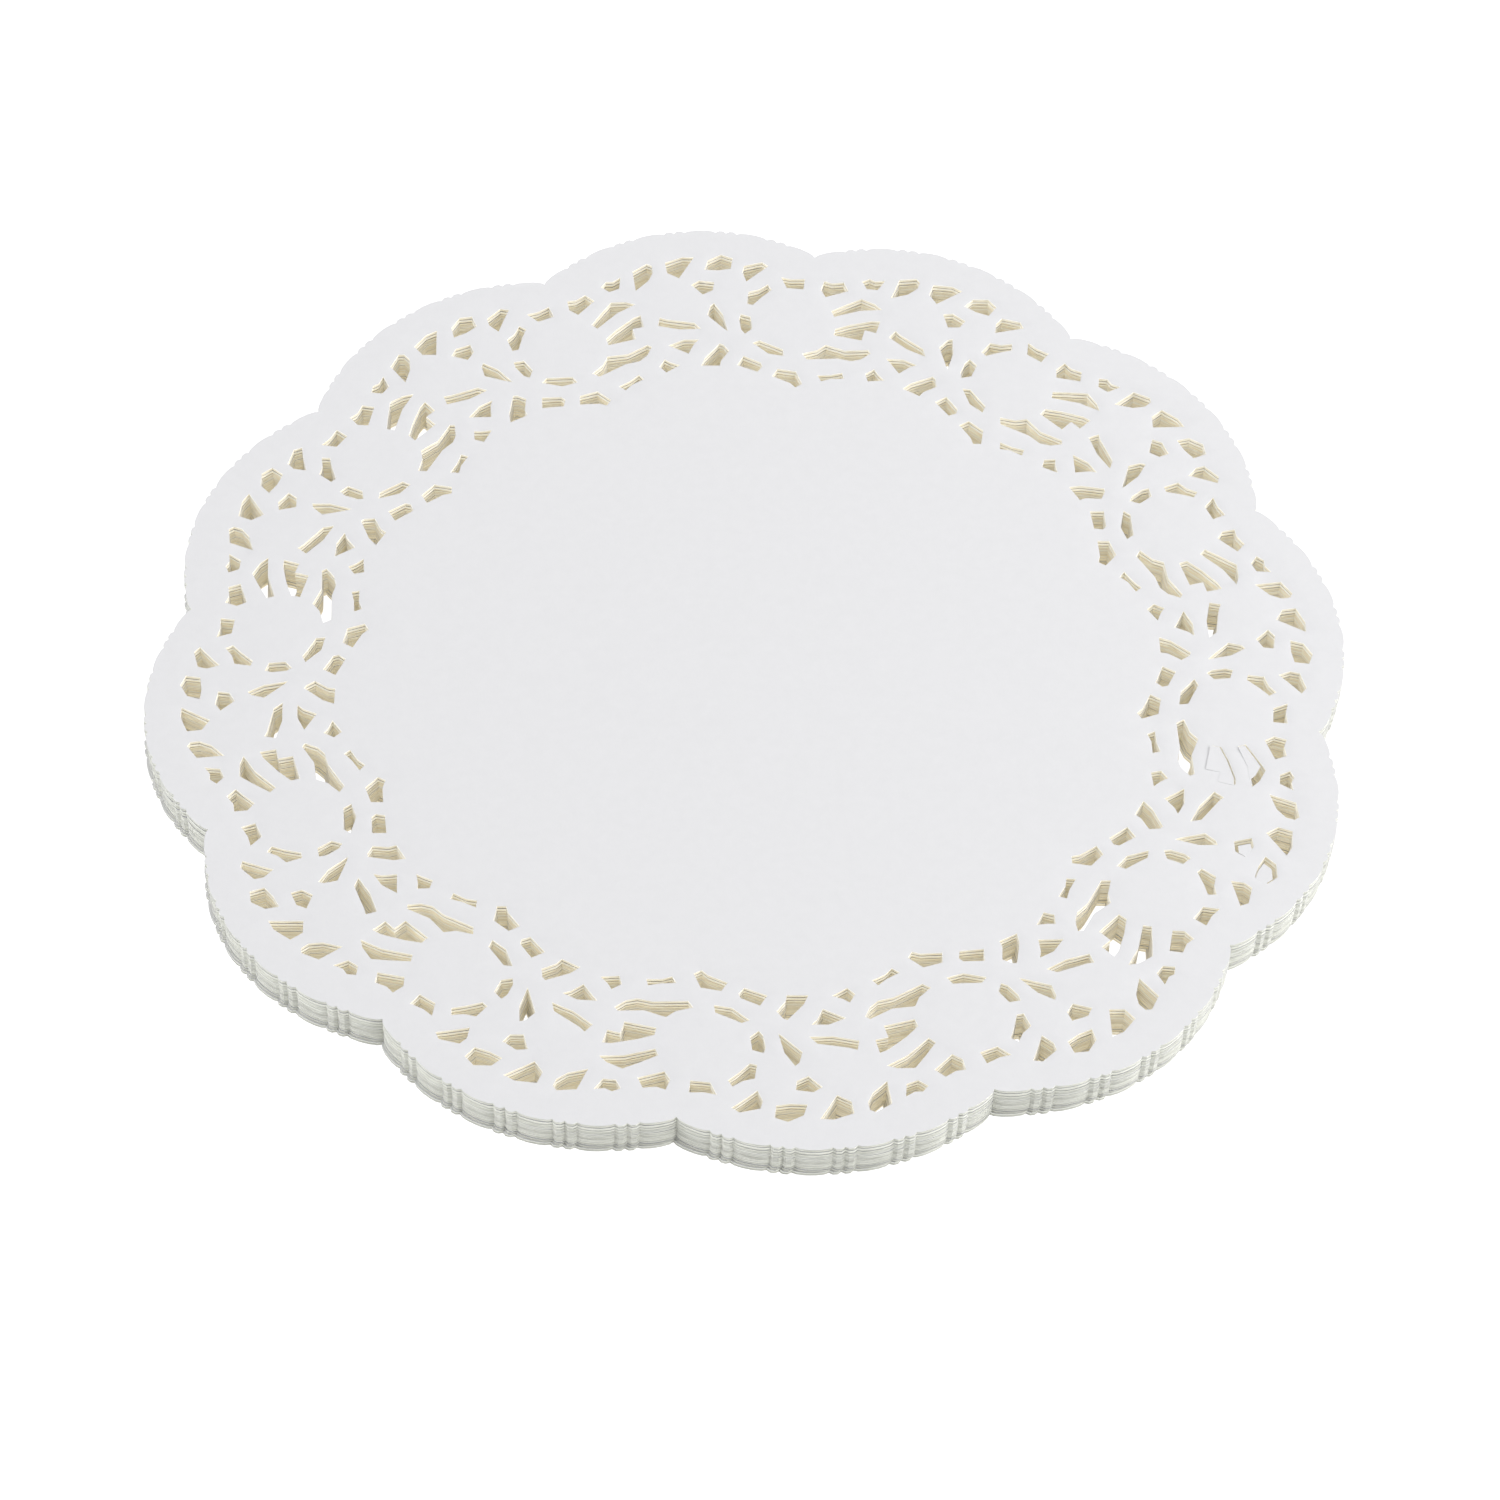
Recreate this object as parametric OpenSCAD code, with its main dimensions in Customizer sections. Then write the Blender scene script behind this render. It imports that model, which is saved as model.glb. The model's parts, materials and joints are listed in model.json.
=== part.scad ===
// A neat pile of round, scalloped, die-cut paper lace doilies.
// Origin: middle of the underside. +Z is up through the pile, and a scallop
// points along each of +X, -X, +Y and -Y.

/* [Doily] */
// Width across opposite scallop tips
doily_d = 254; // [200:1:360]
// Thickness of one embossed sheet as it lies in the pile
sheet_t = 0.17; // [0.1:0.01:0.5]
// Number of doilies in the pile
sheet_count = 50; // [2:1:60]

/* [Scalloped edge] */
// How far the notch between two scallops lies inside the scallop tips
scallop_rise = 8; // [5:0.5:12]
// Plain paper left between the lace and a scallop's tip
rim_w = 7.5; // [6:0.5:12]

/* [Lace] */
// Width of the ring of lace
lace_w = 38; // [32:1:50]
// Share of the full size to which the openings are cut
cut_share = 1; // [0.5:0.05:1.1]

/* [Hidden] */
$fn = 64;

scallops = 12;
pitch = 360 / scallops;

doily_r = doily_d / 2;
notch_r = doily_r - scallop_rise;
lace_inner_r = doily_r - rim_w - lace_w;
lace_middle_r = lace_inner_r + lace_w / 2;

// Circle that each scallop's edge is an arc of: it passes through the tip and
// through the notches on both sides.
half_chord = notch_r * sin(pitch / 2);
sagitta = doily_r - notch_r * cos(pitch / 2);
scallop_r = (half_chord * half_chord + sagitta * sagitta) / (2 * sagitta);
scallop_middle = doily_r - scallop_r;

// One hundredth of a repeat: of its width, or of its height where that is less
grain = cut_share * min(2 * lace_middle_r * sin(pitch / 2), 1.4 * lace_w) / 100;

// Openings of one repeat, round the plain disc that sits below each notch and
// the plain bud in the middle of each scallop. Places are [degrees clockwise
// from the notch, height in the ring of lace in percent], and sizes are in
// hundredths of a repeat. A slit has a length, a width and a tilt in degrees.
round_openings = [
    // the row along the edge
    [-10.5, 93, 10], [-6.5, 87, 9], [2, 78, 9], [10.5, 90, 10], [15, 93, 11],
    // round the disc
    [-6, 69, 9], [-7.5, 46, 8], [-4.5, 28, 9],
    // round the bud
    [-12.5, 76, 8], [-16.5, 49, 10], [-16, 32, 8],
    // the row round the plain middle
    [-12, 22, 10], [-7, 14, 8], [-1.5, 7, 9]
];
slits = [
    // fanning out from the disc
    [6, 67, 22, 7, 27], [7, 50, 22, 8, 31], [5, 29, 29, 8, 11],
    // beside the bud's stem
    [-11.5, 53, 17, 6, -71]
];

// Moves its children to an opening's place in repeat k, with +Y outwards
module at_place(p, k) {
    rotate(-pitch * (k + 0.5) - p[0])
        translate([0, lace_inner_r + lace_w * p[1] / 100])
            children();
}

// A pointed slit, where two circles overlap
module slit(length, width) {
    r = (length * length + width * width) / (4 * width);
    intersection() {
        translate([0, r - width / 2]) circle(r);
        translate([0, width / 2 - r]) circle(r);
    }
}

module scalloped_disc() {
    circle(lace_middle_r);
    for (k = [0 : scallops - 1]) rotate(pitch * k) translate([0, scallop_middle]) circle(scallop_r);
}

module lace_openings() {
    for (k = [0 : scallops - 1]) {
        for (p = round_openings) at_place(p, k) circle(d = p[2] * grain);
        for (p = slits) at_place(p, k) rotate(p[4]) slit(p[2] * grain, p[3] * grain);
    }
}

// The doily that lies i-th from below
module doily(i) {
    color("#f1f1f4")
        translate([0, 0, (i - 1) * sheet_t])
            linear_extrude(sheet_t)
                difference() {
                    scalloped_disc();
                    lace_openings();
                }
}

for (i = [1 : sheet_count]) doily(i);
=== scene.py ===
"""Looks of a pile of white paper lace doilies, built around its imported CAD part.

Every doily is the same stamped sheet. One twelfth of the lace is drawn flat,
and a Geometry Nodes tree turns it into a whole sheet and lays that sheet in the pile.
"""

import json
import math
import random

import bpy
from mathutils import Euler, Matrix, Quaternion, Vector
from mathutils.geometry import delaunay_2d_cdt


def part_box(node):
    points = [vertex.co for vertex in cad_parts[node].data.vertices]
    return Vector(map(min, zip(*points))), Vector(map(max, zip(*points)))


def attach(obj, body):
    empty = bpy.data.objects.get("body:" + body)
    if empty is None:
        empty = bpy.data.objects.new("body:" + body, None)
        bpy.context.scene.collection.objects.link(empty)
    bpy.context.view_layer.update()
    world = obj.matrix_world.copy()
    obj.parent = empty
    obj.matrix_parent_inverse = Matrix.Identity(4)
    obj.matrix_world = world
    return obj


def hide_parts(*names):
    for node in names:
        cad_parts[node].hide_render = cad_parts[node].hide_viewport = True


bl_info = {
    "name": "Paper lace doilies",
    "version": (1, 0, 0),
    "blender": (4, 5, 0),
    "location": "3D View > Sidebar > Doilies",
    "description": "A pile of stamped paper lace doilies around its CAD frame",
    "category": "Add Mesh",
}

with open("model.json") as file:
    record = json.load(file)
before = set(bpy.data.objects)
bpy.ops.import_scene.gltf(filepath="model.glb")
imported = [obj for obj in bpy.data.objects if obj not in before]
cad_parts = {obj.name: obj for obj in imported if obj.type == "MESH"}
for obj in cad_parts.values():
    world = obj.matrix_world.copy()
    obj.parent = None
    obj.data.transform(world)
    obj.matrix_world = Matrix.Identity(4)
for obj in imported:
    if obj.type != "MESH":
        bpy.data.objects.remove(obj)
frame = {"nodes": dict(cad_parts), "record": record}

# What the CAD part fixes: the sheets from the bottom up, their width and their pitch in the pile.
SHEETS = sorted(name for name in frame["nodes"] if name.startswith("doily_"))
BODY_OF_SHEET = {
    node: name
    for name, body in frame["record"]["behaviour"]["bodies"].items()
    for node in body
}
LOWEST, HIGHEST = (Vector(corner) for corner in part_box(SHEETS[0]))
WIDTH = HIGHEST.x - LOWEST.x
PITCH = HIGHEST.z - LOWEST.z
PILE_HEIGHT = PITCH * len(SHEETS)
MM = 0.001

SCALLOPS = 12
REPEAT = 2 * math.pi / SCALLOPS
HALF_REPEAT_DEGREES = 180 / SCALLOPS

# The lace, one repeat. A corner is [degrees clockwise from the notch between two scallops,
# height in the lace band in percent].
EDGE_ROW = [
    [[13.5, 97], [15.5, 100], [16.75, 99], [14.75, 84], [13.5, 89]],
    [[-12.25, 89], [-11.75, 96], [-10.25, 100], [-9, 97], [-9.25, 89], [-10.75, 88]],
    [[-7.75, 91], [-5.75, 94], [-5, 91], [-6.25, 85], [-7.5, 79], [-8, 86]],
    [[-3.5, 83], [-2.25, 82], [-0.75, 83], [-0.75, 75], [-2.75, 75]],
    [[1.5, 83], [2.5, 82], [3.75, 84], [4.5, 78], [2, 71], [1.25, 76]],
    [[5.75, 87], [6.5, 90], [7.25, 89], [8.25, 91], [7.75, 83], [6.5, 82]],
    [[9.5, 79], [9.75, 94], [11.5, 98], [12, 96], [12, 91], [11.25, 85]],
]
DISC_SLITS = [
    [[-5, 77], [-4.5, 73], [-5.5, 68], [-6.75, 61], [-7.5, 62], [-7.25, 71], [-6, 73]],
    [[3, 61], [4.75, 68], [6.25, 74], [8, 72], [9, 69], [6.5, 65], [3.5, 57]],
    [[4, 48], [5.75, 53], [8.25, 59], [9.25, 60], [9.25, 51], [7.75, 51], [7.75, 43], [4, 43]],
    [[0.25, 26], [2.25, 30], [3.25, 35], [6, 33], [9, 37], [9.5, 35], [8.5, 29], [7.25, 26],
     [5.25, 26], [1, 22]],
    [[-8.5, 50], [-8.25, 54], [-7, 52], [-6.75, 43], [-7.75, 39], [-8.25, 42]],
    [[-6.75, 32], [-5.75, 34], [-4.25, 31], [-2.5, 28], [-2.25, 23], [-4.5, 24]],
]
BUD_SLITS = [
    [[-14, 78], [-13, 81], [-11.25, 79], [-11.5, 73], [-12.75, 70]],
    [[-12, 61], [-11.5, 63], [-10.5, 54], [-10, 41], [-10.5, 43], [-12.5, 54]],
    [[-18.5, 56], [-17.75, 54], [-14.25, 49], [-13.5, 44], [-16.25, 45], [-19, 50]],
]
INNER_ROW = [
    [[-18.25, 34], [-16, 37], [-14, 36], [-14.75, 33], [-15.75, 26]],
    [[-11.25, 32], [-10.75, 31], [-10, 26], [-11.25, 19], [-11.5, 15], [-14.25, 16],
     [-13.5, 22]],
    [[-9, 15], [-8, 22], [-5.5, 17], [-5.25, 14], [-6, 10]],
    [[-3.75, 7], [-3, 13], [-0.25, 12], [1, 3], [0, 0], [-1, 3]],
    [[3, 11], [5, 13], [6.5, 16], [7, 12], [5, 10], [3.75, 7]],
    [[-20.25, 19], [-19.25, 24], [-18.5, 21], [-17.25, 18], [-19.5, 14]],
]
OPENINGS = EDGE_ROW + DISC_SLITS + BUD_SLITS + INNER_ROW

# Cut-out scraps still lying in openings of the pile: the opening, the notch it is counted from,
# size beside the opening, sideways shift and depth in mm, and tilt in degrees about X and Y.
SCRAPS = [
    (DISC_SLITS[2], 3, 1.00, (-0.40, -0.12), 0.05, (0, 0)),
    (DISC_SLITS[1], 3, 0.80, (-0.38, 0.80), 0.08, (0, 0)),
    (BUD_SLITS[0], 4, 0.68, (0.0, -0.85), 0.05, (-1, 0)),
    (EDGE_ROW[1], 4, 0.74, (-0.70, -0.95), 0.05, (-1, -1)),
]

# Widths of the small bumps along one scallop.
BUMPS = [3, 1, 1, 3, 1, 1, 3, 1, 1, 3, 1, 1, 3, 1, 1, 3]
# Where a wide and a narrow bump get their points: nearly flat, with a narrow groove at each end.
BUMP_STEPS = {3: (0, 0.12, 0.34, 0.5, 0.66, 0.88), 1: (0, 0.3, 0.7)}
# The bump and its point at which one repeat of the rim ends and the next begins.
SEAM_BUMP = 9
SEAM_STEP = 2
# The cut between two repeats, from the rim inwards, clear of every opening.
SEAM = [[17.4, 97], [16.7, 88], [15.5, 81], [15.2, 75], [13, 64], [10.4, 55], [10.8, 42],
        [10.7, 34], [9.6, 26], [8.7, 21], [8.5, 14], [8.5, 4]]

# How the flat repeat is filled with points: rings in the plain middle, a staggered grid outside.
# Row and start are shares of the grid's step and of the plain middle's radius, the clearances
# keep points off the outlines, and the soft one is a share of the pressed width.
MIDDLE_RINGS = 7
MIDDLE_STEP = 9 * MM
GRID_STEP = 5 * MM
GRID_ROW = 0.87
GRID_START = 0.13
GRID_COLUMNS = 12
GRID_CLEARANCE = 1.3 * MM
SOFT_CLEARANCE = 0.6
TRIANGLE_LIMIT = 1e-7

# How a sheet is finished: what is welded, and the fold past which an edge stays sharp.
REPEAT_WELD = 0.01 * MM
WALL_WELD = 0.005 * MM
SHARP_FOLD = math.radians(28)

# Ripples: how fast they change from bunch to bunch, where they start to grow, in squared shares
# of the radius, and how strong they are in the middle.
RIPPLE_CHANGE = 0.45
RIPPLE_START = 0.2
RIPPLE_IN_MIDDLE = 0.1

# The upper sheets stand a little higher at one spot of the rim. Spot and reach are in shares of
# the radius, the reach squared, and the start is a share of the pile's height.
LIFT_SPOT = (-0.97, -0.2)
LIFT_REACH = 0.02
LIFT_START = 0.72
LIFT_HEIGHT = 0.5 * MM

# The topmost sheets, whose faces slope down beside their openings.
SOFT_SHEETS = 3
# Pressed edges and ripples start at nothing on the floor, and are full at a fourth and a sixth
# of the pile's height.
PRESSED_GROWTH = 4
WAVE_GROWTH = 6
# The depth below the top at which the painted glow in the openings is weakest, so that they are at
# their darkest: painted shade deep in the pile.
DARK_DEPTH = 6.5 * MM

# How far a bunch and a single sheet are turned, in radians, and a sheet's own slip as a share
# of the slip of a bunch.
BUNCH_TURN = math.radians(0.03)
SHEET_TURN = 0.00015
SHEET_SLIP = 0.6

# Curl of a scrap, as height over squared distance from its middle.
SCRAP_BEND = 3.0

# Shade between the layers of the cut edges, at the rim and in the openings.
RIM_SHADE = (0.58, 0.58, 0.545)
OPENING_SHADE = (0.80, 0.73, 0.58)

FLOOR_REACH = 7.0
FLOOR_CORNERS = 48
SKY = (0.97, 0.985, 1.0)
SKY_STRENGTH = 0.36
LOOK_AT = Vector((-3.2 * MM, -21.4 * MM, PILE_HEIGHT))
# Name, place, width in metres and watts.
LAMPS = (
    ("overhead", (0.0, 0.35, 1.5), 1.2, 9.0),
    ("right_box", (1.25, 0.1, 0.55), 0.8, 13.0),
    ("left_box", (-1.3, 0.1, 0.4), 0.8, 8.5),
    ("front_box", (0.95, -1.0, 0.35), 0.8, 5.0),
)


def number(name, text, default, unit="LENGTH", **limits):
    """A float property with its unit."""
    return bpy.props.FloatProperty(
        name=name, description=text, default=default, unit=unit, precision=5, **limits
    )


def colour(name, text, default):
    """A colour property."""
    return bpy.props.FloatVectorProperty(
        name=name, description=text, default=default, subtype="COLOR", size=3, min=0, max=1
    )


class DoilySizes(bpy.types.PropertyGroup):
    """Sizes of one paper doily and of how the sheets lie."""

    rim_width: number("Rim width", "Plain rim outside the lace, at a scallop's tip", 7.5 * MM)
    lace_width: number("Lace width", "Band that holds the openings", 38 * MM)
    scallop_rise: number("Scallop rise", "Tip of a scallop beyond the notches", 7.5 * MM)
    bump_height: number("Bump height", "How far a bump stands out of its scallop", 0.55 * MM)
    paper: number("Paper", "Thickness of the paper itself", 0.135 * MM)
    nested: number("Nested pitch", "From one sheet to the next inside a bunch", 0.150 * MM)
    pressed: number("Pressed edge", "How far the punch pressed an opening's edge down", 0.09 * MM)
    pressed_width: number("Pressed width", "Width of the slope beside a cut", 0.55 * MM)
    wave: number("Wave", "Height of the ripples in the outer part of a sheet", 0.13 * MM)
    wave_length: number("Wave length", "Length of the ripples", 17 * MM)
    bowl: number("Bowl", "How far the rim of the pile curls up all round", 4.2 * MM)
    saddle: number("Saddle", "Curl added at two opposite sides, and taken off between", 3.8 * MM)
    saddle_turn: bpy.props.FloatProperty(
        name="Saddle turn", description="Direction of the higher sides, clockwise from +Y",
        subtype="ANGLE", default=math.radians(15)
    )
    bunch: bpy.props.IntProperty(
        name="Bunch", description="Sheets that were dropped on the pile together", default=5, min=1
    )
    slip: number("Slip", "Sideways slip of one bunch", 0.09 * MM)
    foot: bpy.props.IntProperty(
        name="Foot", description="Lowest sheets, which stand out at one side", default=6, min=0
    )
    foot_slip: bpy.props.FloatVectorProperty(
        name="Foot slip", description="How far the lowest sheets slipped", unit="LENGTH",
        size=2, default=(-0.45 * MM, -0.10 * MM)
    )
    seed: bpy.props.IntProperty(name="Seed", description="Picks the slips and ripples", default=12)


class PaperColours(bpy.types.PropertyGroup):
    """Colours of the paper."""

    face: colour("Face", "Bleached face of the sheet", (0.737, 0.733, 0.743))
    # Cut and rim are the cream cut edge of one paper. The cut edges in the openings are made
    # lighter than round the rim, and that difference is painted light.
    cut: colour("Cut", "Cut edges in the openings", (0.96, 0.94, 0.865))
    rim: colour("Rim", "Cut edges round the rim", (0.91, 0.92, 0.84))
    # Shine-through is a painted glow. It is emission on the cut edges in the openings and stands
    # in for light scattered through the paper and bounced in the openings.
    glow: number(
        "Shine-through", "Light that soaks through the paper into the openings", 0.44,
        unit="NONE", min=0
    )


class StudioSettings(bpy.types.PropertyGroup):
    """Floor, lights and camera."""

    floor: colour("Floor", "Plain floor, made white by its own light", (0.25, 0.25, 0.25))
    glow: number("Floor glow", "Light through the floor", 0.98, unit="NONE", min=0)
    turn: bpy.props.FloatProperty(
        name="Camera turn", description="Turn of the camera round the pile", subtype="ANGLE",
        default=math.radians(9.86)
    )
    tilt: bpy.props.FloatProperty(
        name="Camera tilt", description="Height of the camera as an angle", subtype="ANGLE",
        default=math.radians(50.3)
    )
    roll: bpy.props.FloatProperty(
        name="Camera roll", description="Roll of the camera about its view", subtype="ANGLE",
        default=math.radians(2.32)
    )
    distance: number("Distance", "From the camera to the point it looks at", 0.852)
    focal: number("Lens", "Focal length on a 36 mm wide frame", 98.7, unit="CAMERA")


class Value:
    """An output socket that takes part in sums and products."""

    def __init__(self, maker, link):
        self.maker = maker
        self.link = link

    def _with(self, operation, first, second):
        return self.maker.node(
            "ShaderNodeMath", {"operation": operation}, {0: first, 1: second}
        )

    def __add__(self, other):
        return self._with("ADD", self, other)

    __radd__ = __add__

    def __sub__(self, other):
        return self._with("SUBTRACT", self, other)

    def __rsub__(self, other):
        return self._with("SUBTRACT", other, self)

    def __mul__(self, other):
        return self._with("MULTIPLY", self, other)

    __rmul__ = __mul__

    def __truediv__(self, other):
        return self._with("DIVIDE", self, other)

    def __gt__(self, other):
        return self._with("GREATER_THAN", self, other)


class NodeMaker:
    """Adds nodes to one tree."""

    def __init__(self, tree):
        self.tree = tree

    def node(self, kind, settings=None, inputs=None, output=0):
        """One node: its settings first, then its inputs by name or place. Returns one output."""
        made = self.tree.nodes.new(kind)
        for name, value in (settings or {}).items():
            setattr(made, name, value)
        for key, value in (inputs or {}).items():
            if isinstance(value, Value):
                self.tree.links.new(value.link, made.inputs[key])
            else:
                made.inputs[key].default_value = value
        return Value(self, made.outputs[output])

    def other(self, value, output):
        """Another output of the node that made this value."""
        return Value(self, value.link.node.outputs[output])

    def mix(self, factor, first, second, blend="MIX"):
        """Two colours mixed."""
        return self.node(
            "ShaderNodeMix", {"data_type": "RGBA", "blend_type": blend},
            {0: factor, 6: first, 7: second}, 2,
        )

    def vector(self, x, y, z):
        """Three values as one vector."""
        return self.node("ShaderNodeCombineXYZ", {}, {0: x, 1: y, 2: z})

    def smooth(self, value, low, high):
        """0 below low, 1 above high, and a soft rise between."""
        return self.node(
            "ShaderNodeMapRange", {"interpolation_type": "SMOOTHSTEP"},
            {0: value, 1: low, 2: high, 3: 0.0, 4: 1.0},
        )


def rgba(values):
    """A colour with full alpha."""
    return (*values, 1.0)


# ---------------------------------------------------------------- outline and lace of one repeat


def at(degrees, radius):
    """A point of the flat sheet, degrees clockwise from the notch line, which points along +Y."""
    angle = math.radians(degrees)
    return Vector((radius * math.sin(angle), radius * math.cos(angle)))


def lace_point(sizes, corner):
    """A corner of the lace as a flat point."""
    inner = WIDTH / 2 - sizes.rim_width - sizes.lace_width
    return at(corner[0], inner + sizes.lace_width * corner[1] / 100)


def scallop_point(sizes, middle, along, bump):
    """A point of one scallop: middle is its turn, along goes from notch to notch."""
    notch = WIDTH / 2 - sizes.scallop_rise
    half_chord = notch * math.sin(REPEAT / 2)
    sagitta = WIDTH / 2 - sizes.bump_height - notch * math.cos(REPEAT / 2)
    arc = (half_chord ** 2 + sagitta ** 2) / (2 * sagitta)
    swing = math.asin(half_chord / arc) * (2 * along - 1)
    stands = arc + sizes.bump_height * bump
    point = Vector(
        (stands * math.sin(swing), WIDTH / 2 - sizes.bump_height - arc + stands * math.cos(swing))
    )
    turn = math.radians(middle)
    return Vector(
        (
            point.x * math.cos(turn) + point.y * math.sin(turn),
            -point.x * math.sin(turn) + point.y * math.cos(turn),
        )
    )


def rim_points(sizes):
    """The rim of one repeat, from the cut in one scallop over the notch to the cut in the next."""
    total = sum(BUMPS)
    points = []
    for middle, first, last in (
        (-HALF_REPEAT_DEGREES, SEAM_BUMP, len(BUMPS) - 1),
        (HALF_REPEAT_DEGREES, 0, SEAM_BUMP),
    ):
        for bump in range(first, last + 1):
            start = sum(BUMPS[:bump])
            steps = BUMP_STEPS[BUMPS[bump]]
            if bump == SEAM_BUMP:
                steps = steps[SEAM_STEP:] if middle < 0 else steps[:SEAM_STEP + 1]
            for part in steps:
                along = (start + BUMPS[bump] * part) / total
                points.append(scallop_point(sizes, middle, along, 1 - (2 * part - 1) ** 4))
    return points


def turned(point):
    """The same point one repeat to the left."""
    c, s = math.cos(REPEAT), math.sin(REPEAT)
    return Vector((point.x * c - point.y * s, point.x * s + point.y * c))


def gap_to(point, loop):
    """Distance from a point to a closed outline."""
    best = 1.0
    for first, second in zip(loop, loop[1:] + loop[:1]):
        side = second - first
        part = max(0.0, min(1.0, (point - first).dot(side) / max(side.length_squared, 1e-12)))
        best = min(best, (first + side * part - point).length)
    return best


def inside(point, loop):
    """Whether a point lies in a closed outline."""
    found = False
    for first, second in zip(loop, loop[1:] + loop[:1]):
        if (first.y > point.y) != (second.y > point.y):
            cross = first.x + (point.y - first.y) * (second.x - first.x) / (second.y - first.y)
            if cross > point.x:
                found = not found
    return found


def lace_repeat(sizes, soft_edges):
    """One repeat of the doily as a flat mesh with a mark on the corners of its openings.

    soft_edges adds a ring of points beside every opening, which lets the edge slope down.
    """
    rim = rim_points(sizes)
    cut_line = [lace_point(sizes, corner) for corner in SEAM]
    inner = cut_line[-1].length
    rings = [inner * (1 - step / MIDDLE_RINGS) for step in range(1, MIDDLE_RINGS)]
    cut_line += [cut_line[-1] * (ring / inner) for ring in rings]
    holes = [[lace_point(sizes, corner) for corner in opening] for opening in OPENINGS]
    # rim left to right, the cut inwards, the middle, and the other cut outwards
    outline = rim + cut_line + [Vector((0, 0))] + [turned(point) for point in reversed(cut_line)]

    points = []
    loops = []
    for loop in [outline] + holes:
        loops.append(list(range(len(points), len(points) + len(loop))))
        points += loop
    marked = len(points)
    loose = []
    # plain middle: points on rings, between the two cuts
    for ring in rings[:-1]:
        start = math.atan2(cut_line[-1].x, cut_line[-1].y)
        count = max(1, round(ring * REPEAT / MIDDLE_STEP))
        loose += [
            at(math.degrees(start - REPEAT * step / count), ring) for step in range(1, count)
        ]
    # lace band and rim: an even grid, clear of every outline
    step = GRID_STEP
    for row in range(int(inner / step), int(WIDTH / 2 / step) + 1):
        height = row * step * GRID_ROW + inner * GRID_START
        for column in range(-GRID_COLUMNS, GRID_COLUMNS + 1):
            point = Vector(((column + 0.5 * (row % 2)) * step, height))
            if inside(point, outline) and not any(inside(point, hole) for hole in holes):
                if min(gap_to(point, loop) for loop in [outline] + holes) > GRID_CLEARANCE:
                    loose.append(point)
    if soft_edges:
        for hole in holes:
            for index, corner in enumerate(hole):
                before = (corner - hole[index - 1]).normalized()
                after = (hole[(index + 1) % len(hole)] - corner).normalized()
                for base, way in (
                    (corner, before + after),
                    ((corner + hole[index - 1]) / 2, before),
                ):
                    outward = Vector((-way.y, way.x)).normalized() * sizes.pressed_width
                    if inside(base + outward * 0.1, hole):
                        outward = -outward
                    point = base + outward
                    clear = min(gap_to(point, loop) for loop in [outline] + holes)
                    if clear > SOFT_CLEARANCE * sizes.pressed_width and inside(point, outline):
                        loose.append(point)
    points += loose

    edges = [(loop[i - 1], loop[i]) for loop in loops for i in range(len(loop))]
    corners, _, faces, origins, _, _ = delaunay_2d_cdt(points, edges, [], 1, TRIANGLE_LIMIT)

    def in_a_hole(face):
        middle = sum((corners[i] for i in face), Vector((0, 0))) / 3
        return any(inside(middle, hole) for hole in holes)

    faces = [face for face in faces if not in_a_hole(face)]
    mesh = bpy.data.meshes.new("lace_repeat")
    mesh.from_pydata([(*corner, 0) for corner in corners], [], faces)
    cut = mesh.attributes.new("opening", "FLOAT", "POINT")
    first_hole = len(outline)
    for index, came_from in enumerate(origins):
        is_cut = any(first_hole <= source < marked for source in came_from)
        cut.data[index].value = 1.0 if is_cut else 0.0
    if sum(polygon.normal.z for polygon in mesh.polygons) < 0:
        mesh.flip_normals()
    return mesh


def curl_at(sizes, x, y):
    """Height of the curl of the pile over a point of its middle plane."""
    across, along = x / (WIDTH / 2), y / (WIDTH / 2)
    twice = 2 * sizes.saddle_turn
    folded = (along ** 2 - across ** 2) * math.cos(twice) + 2 * across * along * math.sin(twice)
    return sizes.bowl * (across ** 2 + along ** 2) + sizes.saddle * folded


# ---------------------------------------------------------------- one sheet as a node tree


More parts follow.
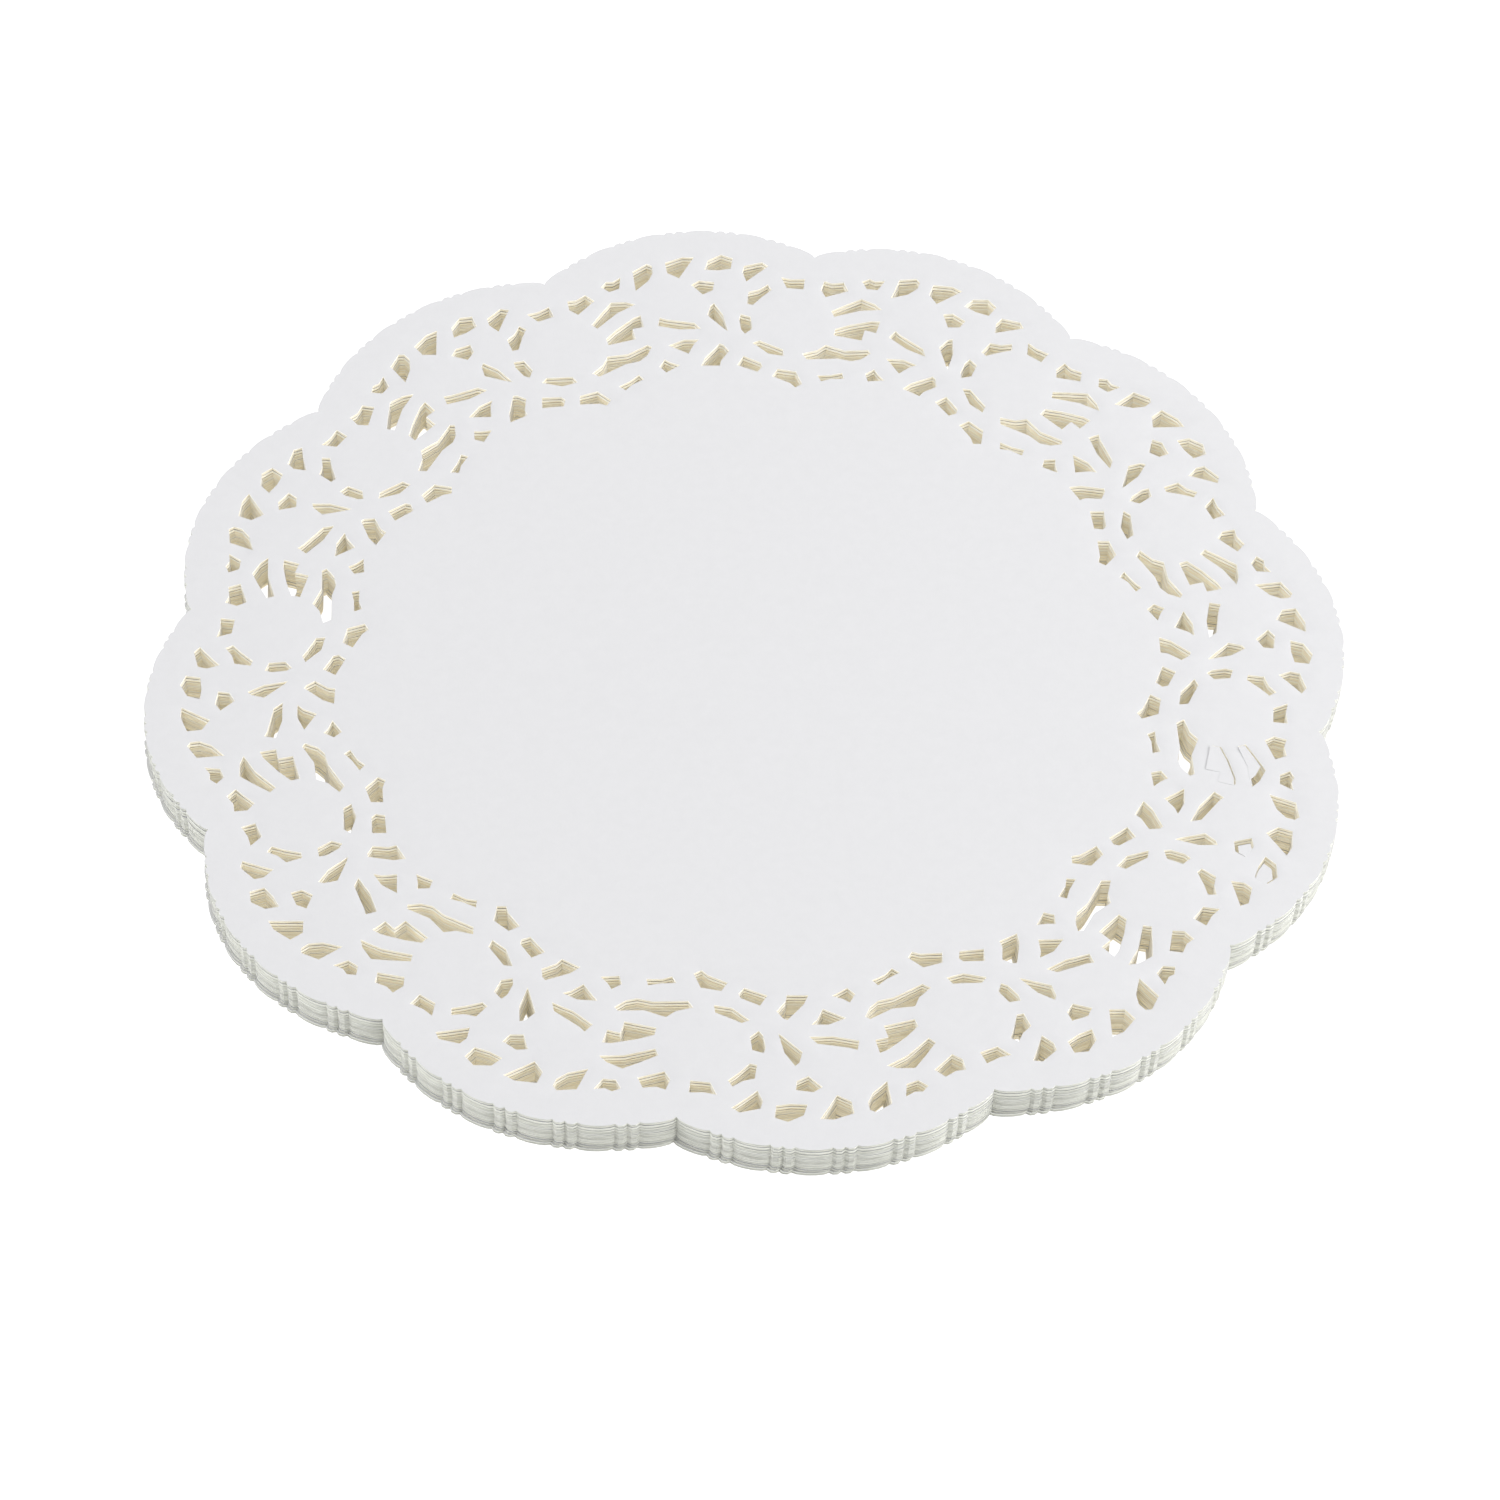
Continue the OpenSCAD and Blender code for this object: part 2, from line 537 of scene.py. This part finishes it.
def sheet_tree():
    """Geometry Nodes: a repeat of the lace, turned into a whole sheet and laid in the pile."""
    tree = bpy.data.node_groups.new("Paper doily", "GeometryNodeTree")
    face = tree.interface
    inputs = {}
    for name, kind in (
        ("Repeat", "NodeSocketGeometry"), ("Repeats", "NodeSocketInt"),
        ("Paper", "NodeSocketFloat"), ("Level", "NodeSocketFloat"),
        ("Slip", "NodeSocketVector"), ("Turn", "NodeSocketFloat"),
        ("Pressed", "NodeSocketFloat"), ("Wave", "NodeSocketFloat"),
        ("Wave length", "NodeSocketFloat"), ("Bowl", "NodeSocketFloat"),
        ("Saddle", "NodeSocketFloat"), ("Saddle turn", "NodeSocketFloat"),
        ("Lift", "NodeSocketFloat"), ("Radius", "NodeSocketFloat"),
        ("Bunch", "NodeSocketFloat"), ("Seed", "NodeSocketFloat"), ("Tone", "NodeSocketFloat"),
        ("Depth", "NodeSocketFloat"), ("Material", "NodeSocketMaterial"),
    ):
        inputs[name] = face.new_socket(name, in_out="INPUT", socket_type=kind).identifier
    face.new_socket("Doily", in_out="OUTPUT", socket_type="NodeSocketGeometry")
    make = NodeMaker(tree)
    given = tree.nodes.new("NodeGroupInput")

    def value(name):
        return Value(make, given.outputs[name])

    # twelve repeats round the middle, joined into one flat sheet
    spots = make.node("GeometryNodePoints", {}, {"Count": value("Repeats")})
    place = make.node("GeometryNodeInputIndex") * (2 * math.pi) / value("Repeats")
    turn = make.node(
        "FunctionNodeAxisAngleToRotation", {}, {"Axis": (0, 0, 1), "Angle": place}
    )
    ring = make.node(
        "GeometryNodeInstanceOnPoints", {},
        {"Points": spots, "Instance": value("Repeat"), "Rotation": turn},
    )
    flat = make.node("GeometryNodeRealizeInstances", {}, {0: ring})
    flat = make.node("GeometryNodeMergeByDistance", {}, {0: flat, "Distance": REPEAT_WELD})
    lie = make.node(
        "FunctionNodeAxisAngleToRotation", {}, {"Axis": (0, 0, 1), "Angle": value("Turn")}
    )
    flat = make.node(
        "GeometryNodeTransform", {}, {0: flat, "Translation": value("Slip"), "Rotation": lie}
    )

    # the curl of the pile, the ripples in its outer part and the pressed edges of the openings
    spot = make.node("GeometryNodeInputPosition")
    scaled = make.node(
        "ShaderNodeVectorMath", {"operation": "DIVIDE"},
        {0: spot, 1: make.vector(value("Radius"), value("Radius"), 1.0)},
    )
    across = make.node("ShaderNodeSeparateXYZ", {}, {0: scaled})
    along = make.other(across, 1)
    out = across * across + along * along
    twice = value("Saddle turn") * 2
    cosine = make.node("ShaderNodeMath", {"operation": "COSINE"}, {0: twice})
    sine = make.node("ShaderNodeMath", {"operation": "SINE"}, {0: twice})
    folded = (along * along - across * across) * cosine + across * along * sine * 2
    curl = out * value("Bowl") + folded * value("Saddle")
    climb = value("Bunch") * RIPPLE_CHANGE + value("Seed")
    stretch = value("Radius") / value("Wave length")
    ripple = make.node(
        "ShaderNodeTexNoise", {"noise_dimensions": "3D"},
        {"Vector": make.vector(across * stretch, along * stretch, climb), "Scale": 1.0,
         "Detail": 1.0, "Roughness": 0.4},
    )
    outer = make.smooth(out, RIPPLE_START, 1.0) * (1 - RIPPLE_IN_MIDDLE) + RIPPLE_IN_MIDDLE
    ripple = (ripple - 0.5) * 2 * value("Wave") * outer
    side_x, side_y = across - LIFT_SPOT[0], along - LIFT_SPOT[1]
    near = make.smooth(side_x * side_x + side_y * side_y, LIFT_REACH, 0.0)
    pressed = make.node(
        "GeometryNodeInputNamedAttribute", {"data_type": "FLOAT"}, {"Name": "opening"}
    )
    rise = curl + ripple + near * value("Lift") - pressed * value("Pressed") + value("Level")
    flat = make.node(
        "GeometryNodeSetPosition", {}, {0: flat, "Offset": make.vector(0.0, 0.0, rise)}
    )

    # the paper's thickness, with its cut edges marked
    thick = make.node(
        "GeometryNodeExtrudeMesh", {"mode": "FACES"},
        {0: flat, "Offset": make.vector(0.0, 0.0, value("Paper")), "Offset Scale": 1.0,
         "Individual": False},
    )
    thick = make.node(
        "GeometryNodeStoreNamedAttribute", {"data_type": "FLOAT", "domain": "FACE"},
        {0: thick, "Selection": make.other(thick, "Side"), "Name": "cut", "Value": 1.0},
    )
    under = make.node("GeometryNodeFlipFaces", {}, {0: flat})
    joined = make.node("GeometryNodeJoinGeometry")
    tree.links.new(under.link, joined.link.node.inputs[0])
    tree.links.new(thick.link, joined.link.node.inputs[0])
    sheet = make.node("GeometryNodeMergeByDistance", {}, {0: joined, "Distance": WALL_WELD})

    # smooth faces with sharp cut edges, and what the material reads
    sheet = make.node(
        "GeometryNodeSetShadeSmooth", {"domain": "FACE"}, {0: sheet, "Shade Smooth": True}
    )
    fold = make.node("GeometryNodeInputMeshEdgeAngle")
    sheet = make.node(
        "GeometryNodeSetShadeSmooth", {"domain": "EDGE"},
        {0: sheet, "Selection": fold > SHARP_FOLD, "Shade Smooth": False},
    )
    for name in ("Tone", "Depth"):
        sheet = make.node(
            "GeometryNodeStoreNamedAttribute", {"data_type": "FLOAT", "domain": "FACE"},
            {0: sheet, "Name": name.lower(), "Value": value(name)},
        )
    sheet = make.node("GeometryNodeRealizeInstances", {}, {0: sheet})
    sheet = make.node("GeometryNodeSetMaterial", {}, {0: sheet, "Material": value("Material")})
    result = tree.nodes.new("NodeGroupOutput")
    tree.links.new(sheet.link, result.inputs[0])
    return tree, inputs


def made_of(mesh, tree, identifiers, values, name):
    """Runs a tree on a mesh with the given inputs and returns the result as a plain object."""
    worker = bpy.data.objects.new("worker", mesh)
    bpy.context.scene.collection.objects.link(worker)
    modifier = worker.modifiers.new("nodes", "NODES")
    modifier.node_group = tree
    for key, value in values.items():
        modifier[identifiers[key]] = value
    bpy.context.view_layer.update()
    graph = bpy.context.evaluated_depsgraph_get()
    result = bpy.data.meshes.new_from_object(worker.evaluated_get(graph))
    bpy.data.objects.remove(worker)
    if not result.polygons:
        raise RuntimeError(f"{name} came out empty")
    result.name = name
    piece = bpy.data.objects.new(name, result)
    bpy.context.scene.collection.objects.link(piece)
    return piece


# ---------------------------------------------------------------- paper


def paper_material(colours):
    """Bleached paper: cloudy, fibrous faces and layered cut edges, with painted shade between the
    layers and a painted glow on the cut edges in the openings.
    """
    found = bpy.data.materials.get("white_paper")
    if found:
        return found
    material = bpy.data.materials.new("white_paper")
    material.use_nodes = True
    tree = material.node_tree
    tree.nodes.clear()
    make = NodeMaker(tree)
    place = make.node("ShaderNodeTexCoord", {}, {}, 3)

    def noise(scale, detail, roughness, stretch=(1.0, 1.0, 1.0)):
        spot = make.node("ShaderNodeMapping", {}, {"Vector": place, "Scale": stretch})
        return make.node(
            "ShaderNodeTexNoise", {},
            {"Vector": spot, "Scale": scale, "Detail": detail, "Roughness": roughness},
        )

    def mark(name):
        return make.node(
            "ShaderNodeAttribute", {"attribute_type": "GEOMETRY", "attribute_name": name}, {}, 2
        )

    def soaked(power, share):
        """The colour of the painted glow that stands in for light come through paper: a higher
        power is a longer way and a warmer tint.
        """
        return rgba([part ** power * share for part in colours.cut])

    clouds = noise(420.0, 4.0, 0.55)
    fibres = noise(2600.0, 3.0, 0.6, (1.0, 0.35, 1.0))
    grain = noise(9000.0, 2.0, 0.5)
    gap_shade_streaks = noise(420.0, 4.0, 0.7, (0.8, 0.8, 5.5))
    cut, opening, tone, depth = mark("cut"), mark("opening"), mark("tone"), mark("depth")

    face = make.mix(
        clouds * 0.6 + fibres * 0.4,
        rgba([part * 0.955 for part in colours.face]),
        rgba([min(1.0, part * 1.035) for part in colours.face]),
    )
    # The cut edges are lighter and warmer in the openings than round the rim: painted light in the
    # openings.
    edge = make.mix(opening, rgba(colours.rim), rgba(colours.cut))
    # Random tone of each sheet's cut edge, with thin dark streaks along it: painted shade in the
    # gaps between the sheets.
    layer_tone_and_gap_shade = make.smooth(tone * 0.6 + gap_shade_streaks * 0.9 + grain * 0.2, 0.5, 1.1)
    shade = make.mix(opening, rgba(RIM_SHADE), rgba(OPENING_SHADE))
    # Where the mask is low, the rim and opening shades are multiplied into the cut edges as
    # painted shade between the layers.
    edge = make.mix(layer_tone_and_gap_shade, make.mix(1.0, edge, shade, "MULTIPLY"), edge)
    # The painted glow is weaker and warmer where the layer mask is low.
    painted_glow = make.mix(layer_tone_and_gap_shade, soaked(4, 0.35), soaked(2, 0.8))
    # Deeper sheets get a weaker, warmer painted glow: painted shade down in the openings.
    painted_glow = make.mix(depth, painted_glow, soaked(5, 0.35))
    base = make.mix(cut, face, edge)

    height = clouds * 0.35 + fibres * 0.45 + grain * 0.2
    bump = make.node(
        "ShaderNodeBump", {}, {"Height": height, "Strength": 0.22, "Distance": 0.06 * MM}
    )
    shader = make.node(
        "ShaderNodeBsdfPrincipled", {},
        {"Base Color": base, "Roughness": fibres * 0.12 + 0.78, "Normal": bump,
         "Specular IOR Level": 0.3,
         # Painted glow: only the cut edges in the openings give off light.
         "Emission Color": make.mix(cut * opening, (0, 0, 0, 1), painted_glow),
         "Emission Strength": colours.glow},
    )
    output = tree.nodes.new("ShaderNodeOutputMaterial")
    tree.links.new(shader.link, output.inputs[0])
    return material


# ---------------------------------------------------------------- the pieces


class DOILY_OT_sheets(bpy.types.Operator):
    """Lays every paper doily of the pile"""

    bl_idname = "doily.sheets"
    bl_label = "Lay the doilies"

    def execute(self, context):
        sizes = context.scene.doily_sizes
        material = paper_material(context.scene.doily_colours)
        plain = lace_repeat(sizes, soft_edges=False)
        soft = lace_repeat(sizes, soft_edges=True)
        tree, identifiers = sheet_tree()
        chance = random.Random(sizes.seed)
        bunch_slip, bunch_turn = (0.0, 0.0), 0.0
        for index, node in enumerate(SHEETS):
            if index % sizes.bunch == 0:
                bunch_slip = [chance.uniform(-sizes.slip, sizes.slip) for _ in range(2)]
                bunch_turn = chance.uniform(-1, 1) * BUNCH_TURN
            slip = [
                part + chance.uniform(-SHEET_SLIP, SHEET_SLIP) * sizes.slip for part in bunch_slip
            ]
            if index < sizes.foot:
                slip = [part + more for part, more in zip(slip, sizes.foot_slip)]
            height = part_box(node)[0][2]
            share = height / PILE_HEIGHT
            near_top = index >= len(SHEETS) - SOFT_SHEETS
            piece = made_of(
                soft if near_top else plain, tree, identifiers,
                {
                    "Repeats": SCALLOPS,
                    "Paper": sizes.paper,
                    "Level": height - (PITCH - sizes.nested) * (index % sizes.bunch),
                    "Bunch": float(index // sizes.bunch),
                    "Slip": (slip[0], slip[1], 0.0),
                    "Turn": -REPEAT / 2 + bunch_turn + chance.uniform(-1, 1) * SHEET_TURN,
                    "Pressed": sizes.pressed * min(1.0, share * PRESSED_GROWTH),
                    "Wave": sizes.wave * min(1.0, share * WAVE_GROWTH),
                    "Wave length": sizes.wave_length,
                    "Bowl": sizes.bowl,
                    "Saddle": sizes.saddle,
                    "Saddle turn": sizes.saddle_turn,
                    "Lift": LIFT_HEIGHT if share > LIFT_START else 0.0,
                    "Radius": WIDTH / 2,
                    "Seed": float(sizes.seed),
                    "Tone": chance.random(),
                    "Depth": min(1.0, (PILE_HEIGHT - height) / DARK_DEPTH),
                    "Material": material,
                },
                f"paper_{node}",
            )
            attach(piece, BODY_OF_SHEET[node])
            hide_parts(node)
        return {"FINISHED"}


class DOILY_OT_scraps(bpy.types.Operator):
    """Leaves the cut-out scraps in their openings"""

    bl_idname = "doily.scraps"
    bl_label = "Add the scraps"

    def execute(self, context):
        sizes = context.scene.doily_sizes
        material = paper_material(context.scene.doily_colours)
        for count, (opening, notch, share, shift, depth, tilt) in enumerate(SCRAPS, 1):
            turn = math.degrees(REPEAT) * (notch + 0.5)
            hole = [lace_point(sizes, [corner[0] + turn, corner[1]]) for corner in opening]
            middle = sum(hole, Vector((0, 0))) / len(hole)
            outline = [(corner - middle) * share for corner in hole]
            inner = [corner * 0.5 for corner in outline] + [Vector((0, 0))]
            rim = list(range(len(outline)))
            corners, _, faces, _, _, _ = delaunay_2d_cdt(
                outline + inner, list(zip(rim, rim[1:] + rim[:1])), [], 1, TRIANGLE_LIMIT
            )
            mesh = bpy.data.meshes.new("scrap")
            mesh.from_pydata(
                [(c.x, c.y, SCRAP_BEND * c.length_squared) for c in corners], [], faces
            )
            if mesh.polygons[0].normal.z < 0:
                mesh.flip_normals()
            spot = middle + Vector(shift) * MM
            top = PILE_HEIGHT + curl_at(sizes, spot.x, spot.y)
            place = Matrix.Translation((spot.x, spot.y, top - depth * MM))
            place @= Euler([math.radians(part) for part in tilt] + [0]).to_matrix().to_4x4()
            mesh.transform(place)
            worker = bpy.data.objects.new("worker", mesh)
            context.scene.collection.objects.link(worker)
            wall = worker.modifiers.new("paper", "SOLIDIFY")
            wall.thickness = sizes.paper
            wall.offset = -1
            wall.use_even_offset = True
            context.view_layer.update()
            graph = context.evaluated_depsgraph_get()
            solid = bpy.data.meshes.new_from_object(worker.evaluated_get(graph))
            bpy.data.objects.remove(worker)
            solid.name = f"scrap_{count}"
            solid.materials.append(material)
            piece = bpy.data.objects.new(f"scrap_{count}", solid)
            context.scene.collection.objects.link(piece)
            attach(piece, BODY_OF_SHEET[SHEETS[-1]])
        return {"FINISHED"}


class DOILY_OT_stage(bpy.types.Operator):
    """Adds the floor, the lights and the camera"""

    bl_idname = "doily.stage"
    bl_label = "Set the stage"

    def execute(self, context):
        studio = context.scene.doily_studio
        scene = context.scene
        mesh = bpy.data.meshes.new("floor")
        rim = [at(step * 360 / FLOOR_CORNERS, FLOOR_REACH) for step in range(FLOOR_CORNERS)]
        mesh.from_pydata([(p.x, p.y, 0) for p in reversed(rim)], [], [list(range(FLOOR_CORNERS))])
        floor = bpy.data.objects.new("floor", mesh)
        scene.collection.objects.link(floor)
        material = bpy.data.materials.new("studio_floor")
        material.use_nodes = True
        shader = material.node_tree.nodes["Principled BSDF"]
        shader.inputs["Base Color"].default_value = rgba(studio.floor)
        shader.inputs["Roughness"].default_value = 0.9
        shader.inputs["Specular IOR Level"].default_value = 0.0
        shader.inputs["Emission Color"].default_value = (1, 1, 1, 1)
        shader.inputs["Emission Strength"].default_value = studio.glow
        mesh.materials.append(material)

        world = bpy.data.worlds.new("studio")
        world.use_nodes = True
        background = world.node_tree.nodes["Background"]
        background.inputs["Color"].default_value = rgba(SKY)
        background.inputs["Strength"].default_value = SKY_STRENGTH
        scene.world = world

        middle = Vector((0, 0, PILE_HEIGHT))
        for name, place, size, power in LAMPS:
            lamp = bpy.data.lights.new(name, "AREA")
            lamp.shape = "DISK"
            lamp.size = size
            lamp.energy = power
            light = bpy.data.objects.new(name, lamp)
            light.location = place
            light.rotation_euler = (middle - Vector(place)).to_track_quat("-Z", "Y").to_euler()
            scene.collection.objects.link(light)

        lens = bpy.data.cameras.new("camera")
        lens.sensor_width = 36.0
        lens.lens = studio.focal
        lens.clip_start = 0.01
        camera = bpy.data.objects.new("camera", lens)
        forward = Vector(
            (
                math.sin(studio.turn) * math.cos(studio.tilt),
                math.cos(studio.turn) * math.cos(studio.tilt),
                -math.sin(studio.tilt),
            )
        )
        camera.location = LOOK_AT - forward * studio.distance
        level = forward.to_track_quat("-Z", "Y")
        camera.rotation_euler = (level @ Quaternion((0, 0, 1), studio.roll)).to_euler()
        scene.collection.objects.link(camera)
        scene.camera = camera
        scene.view_settings.view_transform = "Standard"
        return {"FINISHED"}


class DOILY_PT_panel(bpy.types.Panel):
    """The sidebar panel with the pieces"""

    bl_label = "Doilies"
    bl_space_type = "VIEW_3D"
    bl_region_type = "UI"
    bl_category = "Doilies"

    def draw(self, context):
        scene = context.scene
        for group in (scene.doily_sizes, scene.doily_colours, scene.doily_studio):
            box = self.layout.box()
            for name in group.__annotations__:
                box.prop(group, name)
        for operator in OPERATORS:
            self.layout.operator(operator.bl_idname)


OPERATORS = [DOILY_OT_sheets, DOILY_OT_scraps, DOILY_OT_stage]
GROUPS = {
    "doily_sizes": DoilySizes,
    "doily_colours": PaperColours,
    "doily_studio": StudioSettings,
}


def register():
    """Makes the properties, the operators and the panel known."""
    for name, group in GROUPS.items():
        bpy.utils.register_class(group)
        setattr(bpy.types.Scene, name, bpy.props.PointerProperty(type=group))
    for operator in OPERATORS:
        bpy.utils.register_class(operator)
    bpy.utils.register_class(DOILY_PT_panel)


def unregister():
    """Takes away what register added, in reverse."""
    bpy.utils.unregister_class(DOILY_PT_panel)
    for operator in reversed(OPERATORS):
        bpy.utils.unregister_class(operator)
    for name, group in GROUPS.items():
        delattr(bpy.types.Scene, name)
        bpy.utils.unregister_class(group)


def main():
    """Builds the whole scene."""
    register()
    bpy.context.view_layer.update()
    bpy.ops.doily.stage()
    bpy.ops.doily.sheets()
    bpy.ops.doily.scraps()


if __name__ == "__main__":
    main()
